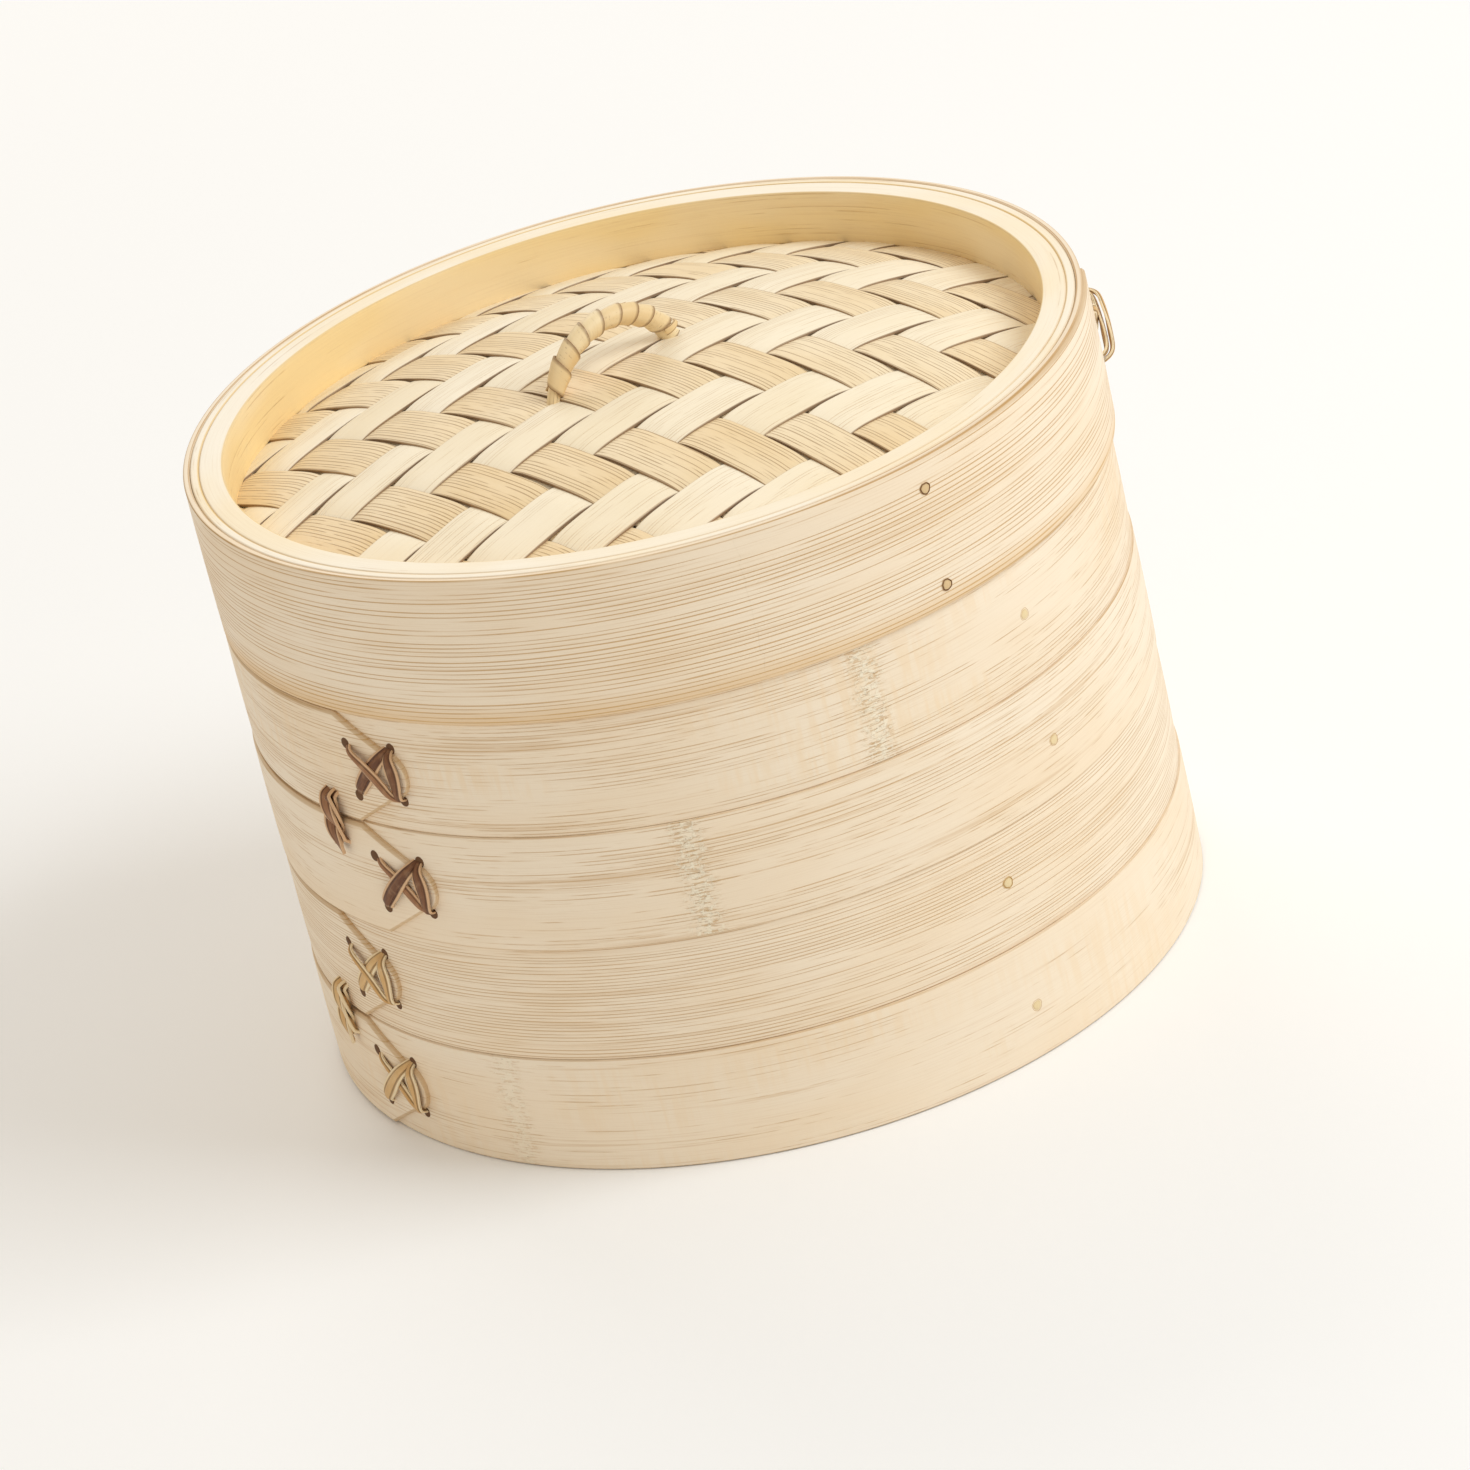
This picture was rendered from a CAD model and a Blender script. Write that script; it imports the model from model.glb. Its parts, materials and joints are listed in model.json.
"""Looks of a bamboo steamer basket: two bentwood tiers with slatted floors and a woven lid.

Shapes are worked out in millimetres in the object's own frame, with the origin at the centre of
the plane that the lower tier stands on, -Y at the front, and every angle measured
counter-clockwise from the front. Meshes are written in metres.
"""

import json
import logging
import math
from dataclasses import dataclass, field, replace
from enum import Enum

import bpy
import numpy as np
from mathutils import Matrix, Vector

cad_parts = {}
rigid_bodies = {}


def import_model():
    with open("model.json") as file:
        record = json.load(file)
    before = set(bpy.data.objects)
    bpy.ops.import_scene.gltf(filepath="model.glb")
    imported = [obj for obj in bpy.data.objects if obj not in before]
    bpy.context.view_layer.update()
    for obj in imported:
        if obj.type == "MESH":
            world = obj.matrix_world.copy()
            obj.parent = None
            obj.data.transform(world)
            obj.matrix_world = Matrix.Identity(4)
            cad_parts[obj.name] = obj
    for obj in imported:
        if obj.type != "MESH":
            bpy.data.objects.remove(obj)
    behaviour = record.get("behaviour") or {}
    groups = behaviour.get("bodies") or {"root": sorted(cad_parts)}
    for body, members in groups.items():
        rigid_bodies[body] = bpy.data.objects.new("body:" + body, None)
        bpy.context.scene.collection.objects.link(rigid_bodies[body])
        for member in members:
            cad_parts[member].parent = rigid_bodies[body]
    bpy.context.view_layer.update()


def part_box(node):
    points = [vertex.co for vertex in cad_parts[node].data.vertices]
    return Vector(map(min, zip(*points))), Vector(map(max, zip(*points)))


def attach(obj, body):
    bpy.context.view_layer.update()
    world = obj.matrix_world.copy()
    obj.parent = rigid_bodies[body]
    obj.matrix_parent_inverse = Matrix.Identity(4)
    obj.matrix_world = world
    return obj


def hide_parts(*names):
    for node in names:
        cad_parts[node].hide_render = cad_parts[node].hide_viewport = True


LOG = logging.getLogger("steamer")
MM = 0.001
RING_STEPS = 288
SHARP_ANGLE = math.radians(38)
# Points of a hoop's outline less than this far from its least radius are on its inner face
INNER_FACE = 0.3
# Distance from a planed-off node within which the fibre lines are stronger
SCAR_REACH = 11.0
# Cross-section of a strip that is one unit wide and one thick
UNIT_STRIP = [(-0.5, -0.5), (0.5, -0.5), (0.5, 0.5), (-0.5, 0.5)]

Rgb = tuple[float, float, float]
Array = np.ndarray


class Body(Enum):
    """The three pieces that lift off one another."""

    LOWER = "lower_tier"
    UPPER = "upper_tier"
    LID = "lid"


class Mark(Enum):
    """Values that a mesh carries for its material."""

    CUT = "cut"
    TONE = "tone"


def linear(red: int, green: int, blue: int) -> Rgb:
    """Turns a display colour of 0 to 255 into the linear values that shaders use.

    Args:
        red, green, blue: the display values.

    Returns:
        The linear colour.
    """
    return tuple(
        c / 12.92 if c <= 0.04045 else ((c + 0.055) / 1.055) ** 2.4
        for c in (red / 255, green / 255, blue / 255)
    )


# ---------------------------------------------------------------- shader maths


class Signal:
    """A shader socket that takes part in Python arithmetic through Math nodes."""

    def __init__(self, recipe: "Recipe", socket: bpy.types.NodeSocket) -> None:
        """Keeps the socket and the recipe that it belongs to."""
        self.recipe = recipe
        self.socket = socket

    def math(self, operation: str, *values: "Signal | float") -> "Signal":
        """Adds one Math node.

        Args:
            operation: the node's operation.
            values: its inputs, in order.

        Returns:
            The node's result.
        """
        inputs = dict(enumerate(values))
        return self.recipe.signal("ShaderNodeMath", {"operation": operation}, inputs)

    def __add__(self, other: "Signal | float") -> "Signal":
        """Sum."""
        return self.math("ADD", self, other)

    __radd__ = __add__

    def __sub__(self, other: "Signal | float") -> "Signal":
        """Difference."""
        return self.math("SUBTRACT", self, other)

    def __rsub__(self, other: float) -> "Signal":
        """Difference from a number."""
        return self.math("SUBTRACT", other, self)

    def __mul__(self, other: "Signal | float") -> "Signal":
        """Product."""
        return self.math("MULTIPLY", self, other)

    __rmul__ = __mul__

    def __truediv__(self, other: "Signal | float") -> "Signal":
        """Quotient."""
        return self.math("DIVIDE", self, other)

    def clamped(self) -> "Signal":
        """The signal kept from 0 to 1."""
        return self.math("MINIMUM", self.math("MAXIMUM", self, 0.0), 1.0)

    def away(self, centre: float) -> "Signal":
        """Distance from a number."""
        return self.math("ABSOLUTE", self - centre)


class Recipe:
    """One material's node tree, and the one way in which its nodes are made."""

    def __init__(self, name: str) -> None:
        """Starts an empty material."""
        self.material = bpy.data.materials.new(name)
        self.material.use_nodes = True
        self.tree = self.material.node_tree
        self.tree.nodes.clear()

    def node(self, kind: str, settings: dict | None = None, inputs: dict | None = None):
        """Makes a node, sets it, and then feeds its sockets.

        Args:
            kind: the node's type.
            settings: its properties.
            inputs: numbers, colours or signals, by socket name or position.

        Returns:
            The node.
        """
        made = self.tree.nodes.new(kind)
        for name, value in (settings or {}).items():
            setattr(made, name, value)
        for key, value in (inputs or {}).items():
            if isinstance(value, Signal):
                self.tree.links.new(value.socket, made.inputs[key])
            else:
                made.inputs[key].default_value = value
        return made

    def signal(
        self, kind: str, settings: dict | None = None, inputs: dict | None = None, output=0
    ) -> Signal:
        """Makes a node and gives one of its outputs, the first unless told otherwise."""
        return Signal(self, self.node(kind, settings, inputs).outputs[output])

    def mark(self, mark: Mark) -> Signal:
        """A value that the mesh carries."""
        settings = {"attribute_name": mark.value, "attribute_type": "GEOMETRY"}
        return self.signal("ShaderNodeAttribute", settings, output="Fac")

    def surface(self) -> tuple[Signal, Signal]:
        """Place on the piece's own UV map: millimetres along the fibres, and across them."""
        spread = self.node(
            "ShaderNodeSeparateXYZ",
            inputs={0: self.signal("ShaderNodeUVMap", {"uv_map": "UVMap"})},
        )
        return Signal(self, spread.outputs[0]), Signal(self, spread.outputs[1])

    def place(self) -> tuple[Signal, Signal, Signal]:
        """Place in the object's frame, in millimetres."""
        spread = self.node(
            "ShaderNodeSeparateXYZ",
            inputs={0: self.signal("ShaderNodeTexCoord", output="Object")},
        )
        return tuple(Signal(self, s) * (1 / MM) for s in spread.outputs)

    def noise(self, x, y, z, detail: float = 2.0, roughness: float = 0.5) -> Signal:
        """Noise from about 0 to 1 at the point (x, y, z).

        Args:
            x, y, z: signals or numbers; one unit is one feature.
            detail: number of finer layers.
            roughness: strength of each finer layer.

        Returns:
            The noise.
        """
        point = self.signal("ShaderNodeCombineXYZ", inputs={0: x, 1: y, 2: z})
        inputs = {"Vector": point, "Scale": 1.0, "Detail": detail, "Roughness": roughness}
        return self.signal("ShaderNodeTexNoise", {"noise_dimensions": "3D"}, inputs)

    def step(self, value: Signal, low: float, high: float) -> Signal:
        """Rises smoothly from 0 where the value is low to 1 where it is high."""
        inputs = {"Value": value, "From Min": low, "From Max": high, "To Min": 0.0, "To Max": 1.0}
        return self.signal("ShaderNodeMapRange", {"interpolation_type": "SMOOTHSTEP"}, inputs)

    def blend(self, factor, first, second) -> Signal:
        """Goes from the first colour to the second as the factor goes from 0 to 1."""
        inputs = {0: factor, 6: self.colour(first), 7: self.colour(second)}
        return self.signal("ShaderNodeMix", {"data_type": "RGBA"}, inputs, output=2)

    @staticmethod
    def colour(value):
        """A colour with its alpha, or the signal as it is."""
        return value if isinstance(value, Signal) else (*value, 1.0)

    def finish(
        self, colour: Signal, roughness: Signal, height: Signal, relief: float
    ) -> bpy.types.Material:
        """Adds the shader.

        Args:
            colour: base colour.
            roughness: roughness.
            height: height of the surface, from 0 to 1.
            relief: what a height of 1 stands for, in millimetres.

        Returns:
            The material.
        """
        inputs = {"Strength": 1.0, "Distance": relief * MM, "Height": height}
        normal = self.signal("ShaderNodeBump", inputs=inputs)
        shader = self.node(
            "ShaderNodeBsdfPrincipled",
            inputs={"Base Color": colour, "Roughness": roughness, "Normal": normal},
        )
        shader.inputs["Specular IOR Level"].default_value = 0.32
        output = self.node("ShaderNodeOutputMaterial")
        self.tree.links.new(shader.outputs[0], output.inputs["Surface"])
        return self.material


# ---------------------------------------------------------------- finishes


class Finish:
    """What a piece is dressed in: a material that is made once and then shared."""

    name: str

    def make(self) -> bpy.types.Material:
        """Builds the material, or gives it again if it is there."""
        known = bpy.data.materials.get(self.name)
        return known or self.build(Recipe(self.name))

    def build(self, r: Recipe) -> bpy.types.Material:
        """Fills in the material; each kind of finish has its own way."""
        raise NotImplementedError


@dataclass(frozen=True)
class Bamboo(Finish):
    """Split bamboo: pale wood, fine fibres, and darker fibre lines that crowd and thin out.

    The grain is noise that is stretched along the fibres. It is read along the piece's UV map,
    or on a hoop at the point itself, so that it closes on itself.
    """

    name: str
    slot: str
    pale: Rgb
    deep: Rgb
    line: Rgb
    hooped: bool = False
    edge: Rgb = linear(190, 150, 90)
    line_pitch: float = 1.1
    line_cover: float = 0.5
    line_strength: float = 0.5
    line_run: float = 0.036
    amber_foot: float | None = None
    streak_pitch: float = 0.8
    streak_strength: float = 0.3
    crowding: float = 0.5
    fibre: float = 0.24
    fibre_strength: float = 0.3
    cut_strength: float = 0.6
    rough: float = 0.56
    relief: float = 0.09
    scars: tuple[float, ...] = ()
    scar_radius: float = 100.0
    scar_strength: float = 1.0
    chatter: float = 0.0

    def build(self, r: Recipe) -> bpy.types.Material:
        """Fibres, lines, broad tone, cut edges and node scars.

        Args:
            r: the empty material.

        Returns:
            The material.
        """
        u, v = r.surface()
        tone = r.mark(Mark.TONE)
        ahead, side = self.run(r, u, tone)
        wander = r.noise(ahead * 0.012, side * 0.012, v * 0.11, 1.0) - 0.5
        w = v + wander * 1.6
        fine = r.noise(ahead * 0.05, side * 0.05, w * (1 / self.fibre), 2.0, 0.6)
        level = w * (1 / self.streak_pitch) + 31.0
        streaks = r.noise(ahead * 0.017, side * 0.017, level, 3.0, 0.65)
        crowd = r.noise(ahead * 0.009, side * 0.009, v * 0.13 + 7.0, 1.0)
        crowded = (crowd - 0.5) * self.crowding
        line = self.lines(r, ahead, side, v, crowded)
        broad = r.noise(ahead * 0.02, side * 0.02, v * 0.05 + 3.0, 2.0)
        base = r.blend(self.shade(r, broad, tone), self.pale, self.deep)
        base = r.blend((fine - 0.5).clamped() * (2 * self.fibre_strength), base, self.line)
        streak = r.step(streaks + crowded, 0.56, 0.72)
        base = r.blend(streak * self.streak_strength, base, self.line)
        for angle in self.scars:
            distance = (u - math.radians(angle) * self.scar_radius).away(0.0)
            near = (1.0 - distance / SCAR_REACH).clamped()
            line = (line * (1.0 + near * (1.3 * self.scar_strength))).clamped()
        base = r.blend(line * self.line_strength, base, self.line)
        if self.amber_foot is not None:
            foot = 1.0 - r.step(v, self.amber_foot, self.amber_foot + 6.0)
            base = r.blend(foot * 0.45, base, AMBER)
        height = fine * 0.45 - line * 0.5 + 0.5
        if self.chatter:
            patch = r.step(r.noise(u * 0.018, 4.0, v * 0.06, 1.0), 0.42, 0.62)
            bars = r.step(r.noise(u * 0.42, 9.0, v * 0.045, 2.0, 0.6), 0.42, 0.62)
            base = r.blend(bars * patch * self.chatter, base, self.deep)
        for number, angle in enumerate(self.scars):
            base, height = self.scarred(r, u, v, angle, number, base, height)
        cut = r.mark(Mark.CUT)
        base = r.blend((cut * (0.55 + 0.9 * fine)).clamped() * self.cut_strength, base, self.edge)
        roughness = self.rough + (fine - 0.5) * 0.25 + line * 0.08
        return r.finish(base, roughness, height, self.relief)

    def lines(
        self, r: Recipe, ahead: Signal, side: Signal, v: Signal, crowded: Signal
    ) -> Signal:
        """Thin dark lines, one to each cell across the fibres.

        The cells' edges wander. A line is where the place in its cell is near the middle, and
        its strength is a noise of the cell's number and the distance along the fibres.

        Args:
            r: the material.
            ahead, side: two values that change along the fibres.
            v: distance across the fibres.
            crowded: raises the strength where lines crowd.

        Returns:
            The strength, from 0 to 1.
        """
        wander = r.noise(ahead * 0.008, side * 0.008, v * 0.5, 1.0) * 1.1
        place = v * (1 / self.line_pitch) + wander
        off = place.math("FRACT", place).away(0.5)
        cell = place.math("FLOOR", place) * 3.71
        wide = r.noise(ahead * 0.06, side * 0.06, cell + 1.3, 1.0) * 0.09
        thin = 1.0 - r.step(off - wide, 0.01, 0.12)
        strength = r.noise(ahead * self.line_run, side * self.line_run, cell, 3.0, 0.7) + crowded
        threshold = 0.62 - 0.3 * self.line_cover
        return thin * r.step(strength, threshold, threshold + 0.14)

    def run(self, r: Recipe, u: Signal, tone: Signal) -> tuple[Signal, Signal]:
        """Two values that change along the fibres.

        Args:
            r: the material.
            u: distance along the UV map.
            tone: the strip's own random value.

        Returns:
            On a hoop the point's x and y, otherwise the distance and the strip's value.
        """
        if self.hooped:
            x, y, _ = r.place()
            return x, y
        return u, tone * 900.0

    def shade(self, r: Recipe, broad: Signal, tone: Signal) -> Signal:
        """Share of the deep colour: broad patches, and each strip's own value."""
        return (r.step(broad, 0.3, 0.75) * 0.45 + tone * 0.75).clamped()

    def scarred(
        self, r: Recipe, u: Signal, v: Signal, angle: float, number: int, base, height
    ) -> tuple[Signal, Signal]:
        """Adds a planed-off node: a ragged upright zone of pale chips and short brown slits.

        Args:
            r: the material.
            u, v: place on the band.
            angle: where the node is, in degrees from the front.
            number: which scar this is, for its own pattern.
            base: colour so far.
            height: height so far.

        Returns:
            The new colour and height.
        """
        seed = 17.0 * number + 5.0
        ragged = (r.noise(seed, v * 0.2, 1.0, 3.0, 0.75) - 0.5) * 7.0
        offset = u - math.radians(angle) * self.scar_radius + ragged
        distance = offset.away(0.0)
        zone = 1.0 - r.step(distance, 1.8, 5.4)
        core = 1.0 - r.step(distance, 0.3, 2.4)
        chips = r.step(r.noise(u * 0.7, v * 0.8, seed, 3.0, 0.7), 0.5, 0.6) * zone
        slits = r.step(r.noise(u * 0.3, v * 1.8, seed + 9.0, 2.0, 0.6), 0.53, 0.6) * zone
        specks = r.step(r.noise(u * 0.9, v * 1.8, seed + 4.0, 2.0, 0.6), 0.64, 0.7) * core
        strength = self.scar_strength
        base = r.blend((chips * 0.7 + core * 0.45).clamped() * strength, base, CHIP)
        base = r.blend(slits * (1.0 - chips * 0.7) * (0.5 * strength), base, GOLDEN)
        base = r.blend(specks * (0.45 * strength), base, linear(146, 104, 56))
        raised = chips * 0.8 - slits * 0.6 - specks * 1.2
        return base, height + raised * strength


@dataclass(frozen=True)
class Cane(Finish):
    """Lacing strips: glossy, ridged along their length, paler at their edges."""

    name: str
    slot: str
    face: Rgb
    other: Rgb
    rim: Rgb
    dark: Rgb = linear(78, 48, 34)
    rough: float = 0.42

    def build(self, r: Recipe) -> bpy.types.Material:
        """Streaks along the strip, a tone for each strip, and a pale line at both edges.

        Args:
            r: the empty material.

        Returns:
            The material.
        """
        u, v = r.surface()
        tone = r.mark(Mark.TONE)
        edge = r.mark(Mark.CUT)
        streaks = r.noise(u * 0.18, v * 3.2, tone * 40.0, 3.0, 0.6)
        patches = r.noise(u * 0.35, v * 0.4, tone * 70.0 + 3.0, 2.0)
        base = r.blend((tone * 0.8 + (streaks - 0.5) * 0.9).clamped(), self.face, self.other)
        base = r.blend(r.step(patches, 0.5, 0.8) * 0.35, base, self.rim)
        groove = 1.0 - r.step(edge.away(0.55), 0.02, 0.14)
        base = r.blend(groove * 0.5, base, self.dark)
        base = r.blend(r.step(edge, 0.66, 0.8) * 0.85, base, self.rim)
        height = streaks + r.step(edge, 0.6, 0.8) * 0.8 - groove
        return r.finish(base, self.rough + streaks * 0.2, height, 0.14)


@dataclass(frozen=True)
class Plain(Finish):
    """A plain matt surface for the studio, and for the dark of a hole."""

    name: str
    colour: Rgb
    rough: float = 0.8

    def build(self, r: Recipe) -> bpy.types.Material:
        """One colour and one roughness, set on the shader itself."""
        shader = r.node("ShaderNodeBsdfPrincipled")
        shader.inputs["Base Color"].default_value = (*self.colour, 1.0)
        shader.inputs["Roughness"].default_value = self.rough
        output = r.node("ShaderNodeOutputMaterial")
        r.tree.links.new(shader.outputs[0], output.inputs["Surface"])
        return r.material


CREAM = linear(246, 231, 208)
CREAM_DEEP = linear(241, 216, 180)
GOLDEN = linear(196, 150, 84)
AMBER = linear(222, 176, 104)
DARK_EDGE = linear(120, 78, 40)
CHIP = linear(249, 238, 214)

BAND_WOOD = Bamboo(
    "band_bamboo", "outer_bamboo", CREAM, CREAM_DEEP, GOLDEN, hooped=True, line_pitch=0.9
)
UPPER_TOP = replace(
    BAND_WOOD, name="upper_top_bamboo", line_cover=0.6, line_strength=0.6, line_pitch=0.85,
    scars=(19.0,), chatter=0.5,
)
UPPER_BASE = replace(
    BAND_WOOD, name="upper_base_bamboo", line_cover=0.55, line_strength=0.6,
    scars=(-7.0,), scar_strength=1.1,
)
LOWER_TOP = replace(
    BAND_WOOD, name="lower_top_bamboo", line_cover=0.8, line_strength=0.65, line_pitch=0.8,
    streak_strength=0.2, line_run=0.018,
)
LOWER_BASE = replace(
    BAND_WOOD, name="lower_base_bamboo", line_cover=0.4, scars=(-39.0,), scar_strength=0.6,
    chatter=0.35,
)
LID_BAND = replace(
    BAND_WOOD, name="lid_band_bamboo", line_cover=0.85, line_strength=0.75, line_pitch=1.05,
    crowding=0.5, streak_strength=0.2, line_run=0.012, amber_foot=17.0,
)
LINING = Bamboo(
    "lining_grain", "lining_bamboo", linear(246, 220, 166), linear(238, 202, 138),
    linear(196, 146, 84), hooped=True, line_cover=0.3, line_strength=0.35, streak_strength=0.1,
)
RIM = Bamboo(
    "rim_grain", "rim_bamboo", linear(252, 244, 228), linear(250, 224, 168),
    linear(196, 148, 84), hooped=True, line_cover=0.25, line_strength=0.35, cut_strength=0.6,
    streak_strength=0.08, fibre_strength=0.2,
)
SLAT = Bamboo(
    "floor_grain", "floor_bamboo", linear(243, 226, 190), linear(225, 196, 146),
    linear(188, 146, 90), line_cover=0.5, line_strength=0.55,
)
WEFT = Bamboo(
    "weft_grain", "weft_bamboo", linear(252, 242, 220), linear(243, 226, 190),
    linear(206, 166, 112), line_cover=0.45, line_strength=0.45, line_pitch=0.8, rough=0.5,
    fibre_strength=0.2, streak_strength=0.06, cut_strength=0.8, edge=DARK_EDGE,
)
WARP = Bamboo(
    "warp_grain", "warp_bamboo", linear(251, 238, 210), linear(238, 211, 164),
    linear(150, 106, 56), line_cover=0.85, line_strength=0.55, line_pitch=0.95, rough=0.46,
    streak_strength=0.06, relief=0.14, fibre_strength=0.12, cut_strength=0.8, edge=DARK_EDGE,
)
HANDLE = Bamboo(
    "handle_grain", "handle_bamboo", linear(250, 232, 192), linear(230, 196, 138),
    linear(116, 74, 36), line_cover=0.3, line_strength=0.35, line_pitch=0.9, rough=0.42,
    cut_strength=0.8, fibre_strength=0.1, streak_strength=0.08, edge=DARK_EDGE,
)
PEG = Bamboo(
    "peg_grain", "peg_bamboo", linear(224, 196, 150), linear(198, 160, 110),
    linear(92, 58, 34), line_pitch=0.6, line_cover=0.4, fibre=0.18, cut_strength=1.0,
    edge=DARK_EDGE,
)
PALE_PEG = Bamboo(
    "pale_peg_bamboo", "peg_bamboo", linear(236, 216, 172), linear(222, 196, 146),
    linear(178, 136, 84), line_pitch=0.6, line_cover=0.3, fibre=0.18, cut_strength=0.8,
)
DARK_TIE = Cane(
    "dark_cane", "dark_tie", linear(104, 64, 38), linear(186, 136, 96), linear(230, 192, 150)
)
LIGHT_TIE = Cane(
    "light_cane", "light_tie", linear(206, 160, 98), linear(232, 200, 148), linear(247, 230, 194)
)
HOLE = Plain("hole_shadow", linear(104, 70, 40))


# ---------------------------------------------------------------- surfaces


def around(radius, angle, height) -> Array:
    """Points at a radius and an angle from the front: (r sin a, -r cos a, z).

    Args:
        radius, angle, height: numbers or arrays that fit together; the angle is in radians.

    Returns:
        The points.
    """
    radius, angle, height = np.broadcast_arrays(radius, angle, height)
    return np.stack([radius * np.sin(angle), -radius * np.cos(angle), height], axis=-1)


def unit(vectors: Array) -> Array:
    """Vectors divided by their lengths."""
    return vectors / np.linalg.norm(vectors, axis=-1, keepdims=True)


def ease(x) -> Array:
    """A smooth step: 3 x squared less 2 x cubed, with x kept from 0 to 1."""
    x = np.clip(x, 0, 1)
    return x * x * (3 - 2 * x)


def rectangle(x: tuple[float, float], z: tuple[float, float]) -> list[tuple[float, float]]:
    """Corners of a rectangle from its lowest and highest x and z, counter-clockwise."""
    return [(x[0], z[0]), (x[1], z[0]), (x[1], z[1]), (x[0], z[1])]


def hoop_corners(inner: float, outer: float, low: float, high: float) -> list:
    """Corners of a hoop's cross-section, as radii and heights, from its outer foot upwards."""
    return [(outer, low), (outer, high), (inner, high), (inner, low)]


def turned_flat(u: Array, v: Array, z: Array, turn: float) -> Array:
    """Points whose level axes are turned counter-clockwise by an angle in radians."""
    c, s = math.cos(turn), math.sin(turn)
    return np.stack([u * c - v * s, u * s + v * c, z], -1)


def marked(shape: tuple, cut=0.0, tone=0.0) -> dict[Mark, Array]:
    """The CUT and TONE marks of a grid of points, from numbers or arrays that fit it."""
    return {Mark.CUT: np.broadcast_to(cut, shape), Mark.TONE: np.broadcast_to(tone, shape)}


def span(node: str) -> tuple[float, float]:
    """Lowest and highest point of a CAD node, in millimetres."""
    low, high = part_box(node)
    return low.z / MM, high.z / MM


def rounded(corners, radius, steps: int = 4, sides: int = 0) -> tuple[Array, Array]:
    """A closed outline whose corners are softened.

    Each corner is a quadratic curve that starts and ends at the radius from the corner, on
    its two sides, and has the corner as its middle control point.

    Args:
        corners: the corners in order.
        radius: distance from a corner to its curve's ends, one number or one for each corner.
        steps: segments in each curve.
        sides: extra points on each straight side.

    Returns:
        The points, and how near each is to the middle of a corner, from 0 to 1.
    """
    middle = np.asarray(corners, float)
    reach = np.broadcast_to(np.asarray(radius, float), len(middle))[:, None]
    start = middle + reach * unit(np.roll(middle, 1, 0) - middle)
    end = middle + reach * unit(np.roll(middle, -1, 0) - middle)
    t = np.linspace(0, 1, steps + 1)[None, :, None]
    curve = (1 - t) ** 2 * start[:, None] + 2 * t * (1 - t) * middle[:, None] + t**2 * end[:, None]
    near = np.broadcast_to(1 - np.abs(2 * t[..., 0] - 1), curve.shape[:2])
    if sides:
        s = np.linspace(0, 1, sides + 2)[None, 1:-1, None]
        side = (1 - s) * end[:, None] + s * np.roll(start, -1, 0)[:, None]
        curve = np.concatenate([curve, side], axis=1)
        near = np.concatenate([near, np.zeros(side.shape[:2])], axis=1)
    return curve.reshape(-1, 2), near.reshape(-1)


@dataclass
class Patch:
    """A closed skin on a grid of points, m rows by n columns, each row a closed loop.

    The rows are joined in order. The last row meets the first if the patch is a ring, and
    otherwise the first and last rows are capped with flat faces.
    """

    points: Array
    uv: Array
    ring: bool = False
    marks: dict[Mark, Array] = field(default_factory=dict)

    def faces(self) -> tuple[list[Array], list[Array]]:
        """Vertex numbers and UVs of the faces.

        Returns:
            Arrays of faces with the same number of corners, and the corners' UVs. Faces are
            turned round if the volume that they enclose would be negative.
        """
        m, n = self.points.shape[:2]
        i, j = np.meshgrid(np.arange(m if self.ring else m - 1), np.arange(n), indexing="ij")
        rows = np.stack([i, i + 1, i + 1, i], -1).reshape(-1, 4)
        columns = np.stack([j, j, j + 1, j + 1], -1).reshape(-1, 4)
        groups = [(rows % m) * n + columns % n]
        uvs = [self.uv[rows, columns]]
        if not self.ring:
            loop = np.arange(n)
            groups += [loop[None, ::-1], ((m - 1) * n + loop)[None]]
            uvs += [self.uv[0, loop[::-1]][None], self.uv[m - 1, loop][None]]
        flat = self.points.reshape(-1, 3)
        volume = 0.0
        for group in groups:
            corners = flat[group]
            first, others = corners[:, :1], corners[:, 1:]
            crossed = np.cross(others[:, :-1], others[:, 1:])
            volume += float((np.broadcast_to(first, crossed.shape) * crossed).sum())
        if volume < 0:
            groups = [g[:, ::-1] for g in groups]
            uvs = [c[:, ::-1] for c in uvs]
        return groups, uvs


def plain_uv(along: Array, across: Array) -> Array:
    """A UV grid from the distance of each row and the distance of each column."""
    return np.stack(np.meshgrid(along, across, indexing="ij"), -1)


def lengths(loop: Array) -> Array:
    """Distance round a closed loop to each of its points, and at last all the way round."""
    gaps = np.linalg.norm(np.roll(loop, -1, 0) - loop, axis=-1)
    return np.concatenate([[0.0], np.cumsum(gaps)])


def stray(angle: Array, wave: float, shift: float) -> Array:
    """How far a hoop strays outwards from a true circle: sines of two and five turns."""
    return wave * (1 + 0.6 * np.sin(2 * angle + shift) + 0.4 * np.sin(5 * angle + 2 * shift)) / 2


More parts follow.
